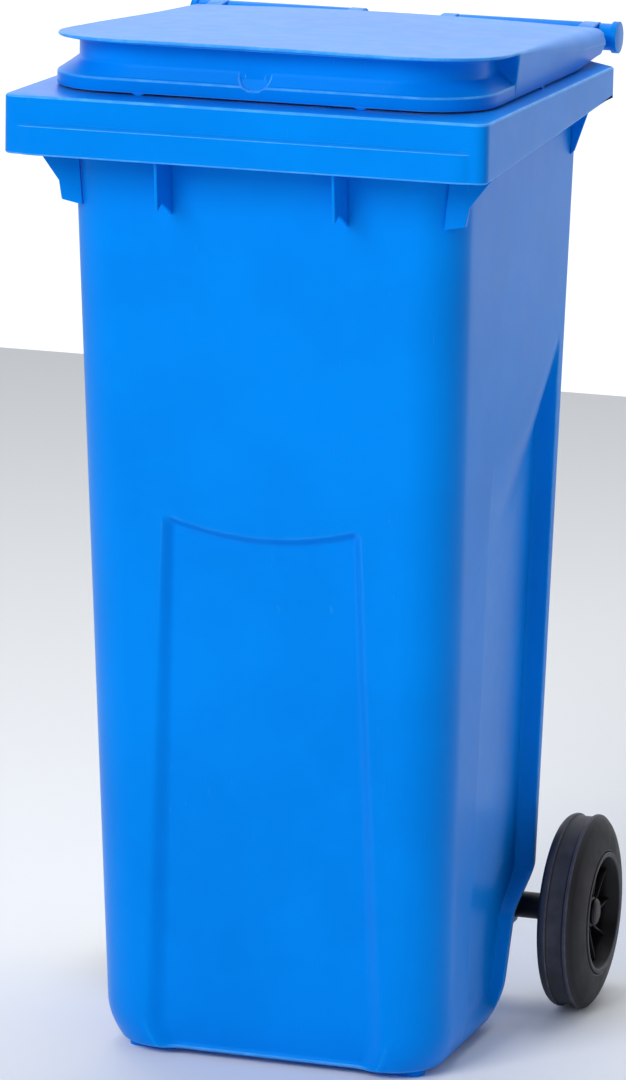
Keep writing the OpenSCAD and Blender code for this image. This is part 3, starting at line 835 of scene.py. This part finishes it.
for side, label in ((1, "right"), (-1, "left")):
    verts, faces = revolve(rounded(TYRE_PROFILE))
    tyre = make_mesh("tyre_rubber_" + label, wheel_place(verts, side), flip(faces, side),
                     "wheel_" + label, RUBBER)
    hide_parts("tyre_" + label)
    verts, faces = revolve(rounded(HUB_PROFILE))
    rib_verts, rib_faces = hub_ribs()
    shift = len(verts)
    faces = faces + [tuple(i + shift for i in f) for f in rib_faces]
    hub = make_mesh("hub_moulding_" + label, wheel_place(np.concatenate([verts, rib_verts]), side),
                    flip(faces, side), "wheel_" + label, BLACK)
    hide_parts("hub_" + label)


# ---- CAD nodes that stay: welded, bevelled and given their materials ----

BEVEL_STEPS = 3
BEVEL_ANGLE = 32                           # edges sharper than this, in degrees, are bevelled
WELD = 0.00002


def keep(node, mat, width):
    """Leaves a CAD node in place, with its edges bevelled by this width in mm."""
    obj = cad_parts[node]
    obj.data.materials.clear()
    obj.data.materials.append(mat)
    for polygon in obj.data.polygons:
        polygon.use_smooth = True
    weld = obj.modifiers.new("weld", "WELD")
    weld.merge_threshold = WELD
    bevel = obj.modifiers.new("bevel", "BEVEL")
    bevel.width = width * MM
    bevel.segments = BEVEL_STEPS
    bevel.limit_method = "ANGLE"
    bevel.angle_limit = math.radians(BEVEL_ANGLE)
    bevel.harden_normals = True


for name, width in (("rim_ribs", 0.8), ("foot_pads", 2.0), ("lid_rests", 0.3), ("handle_left", 2.0),
                    ("handle_right", 2.0), ("axle_mount_left", 1.2), ("axle_mount_right", 1.2),
                    ("lid_knuckles_left", 1.8), ("lid_knuckles_right", 1.8),
                    ("hinge_pin_left", 1.6), ("hinge_pin_right", 1.6)):
    keep(name, BLUE, width)
for name, width in (("spacer_left", 0.8), ("spacer_right", 0.8),
                    ("axle_cap_left", 0.4), ("axle_cap_right", 0.4)):
    keep(name, BLACK, width)
keep("axle", STEEL, 0.8)


# ---- Stage, lights and camera ----

FLOOR = [(-9, -8, 0), (9, -8, 0), (9, 3.4, 0), (-9, 3.4, 0)]


def lay_floor():
    mat, bsdf = material("floor")
    bsdf.inputs["Base Color"].default_value = (0.93, 0.94, 0.96, 1)
    bsdf.inputs["Roughness"].default_value = 0.9
    mesh = bpy.data.meshes.new("floor")
    mesh.from_pydata(FLOOR, [], [(0, 1, 2, 3)])
    mesh.materials.append(mat)
    obj = bpy.data.objects.new("floor", mesh)
    bpy.context.scene.collection.objects.link(obj)


def area_light(name, place_at, aim, size, power):
    light = bpy.data.lights.new(name, "AREA")
    light.shape = "RECTANGLE"
    light.size, light.size_y = size
    light.energy = power
    obj = bpy.data.objects.new(name, light)
    obj.location = place_at
    obj.rotation_euler = (Vector(aim) - Vector(place_at)).to_track_quat("-Z", "Y").to_euler()
    bpy.context.scene.collection.objects.link(obj)


WORLD_COLOUR = (0.92, 0.96, 1, 1)
WORLD_LOW = 0.22                           # brightness of the world away from the wall
WALL_FOOT, WALL_HEAD = 0.95, 1.4           # what the wall adds to it near the floor, and higher up


def light_world():
    """A soft room whose wall behind the bin is bright. As a part of the world, the wall stands in
    front of no other view."""
    world = bpy.data.worlds.new("world")
    world.use_nodes = True
    g = Graph(world)
    sky = g.add("ShaderNodeSeparateXYZ", Vector=g.add("ShaderNodeTexCoord").outputs["Generated"])
    behind_bin = g.ramp(sky.outputs["Y"], 0.45, 0.6, 0, 1)
    below_top = g.ramp(sky.outputs["Z"], 0.6, 0.7, 1, 0)
    wall = g.maths("MULTIPLY", behind_bin, below_top)
    glow = g.maths("MULTIPLY", wall, g.ramp(sky.outputs["Z"], 0.1, 0.2, WALL_FOOT, WALL_HEAD))
    background = world.node_tree.nodes["Background"]
    background.inputs["Color"].default_value = WORLD_COLOUR
    g.link(g.maths("ADD", glow, WORLD_LOW), background.inputs["Strength"])
    bpy.context.scene.world = world


SENSOR, LENS = 36.0, 201.8                 # in mm
CAMERA_AT = (1.822, -5.602, 1.783)
AZIMUTH, PITCH, ROLL = 18.11, 12.25, 1.05


def set_camera():
    scene = bpy.context.scene
    camera = bpy.data.cameras.new("camera")
    camera.sensor_width = SENSOR
    camera.lens = LENS
    camera_obj = bpy.data.objects.new("camera", camera)
    camera_obj.matrix_world = (Matrix.Translation(CAMERA_AT)
                               @ Matrix.Rotation(math.radians(AZIMUTH), 4, "Z")
                               @ Matrix.Rotation(math.radians(90 - PITCH), 4, "X")
                               @ Matrix.Rotation(math.radians(ROLL), 4, "Z"))
    scene.collection.objects.link(camera_obj)
    scene.camera = camera_obj


lay_floor()
area_light("key", (-1.3, -4.4, 3.3), (0, 0, 0.55), (2.4, 2.4), 166)
area_light("top", (-0.2, 0.9, 3.5), (0, 0.2, 0.5), (2.6, 2.2), 48)
area_light("fill", (1.2, -5.0, 1.6), (0, 0, 0.6), (1.6, 1.6), 14)
light_world()
set_camera()
bpy.context.scene.view_settings.view_transform = "Standard"
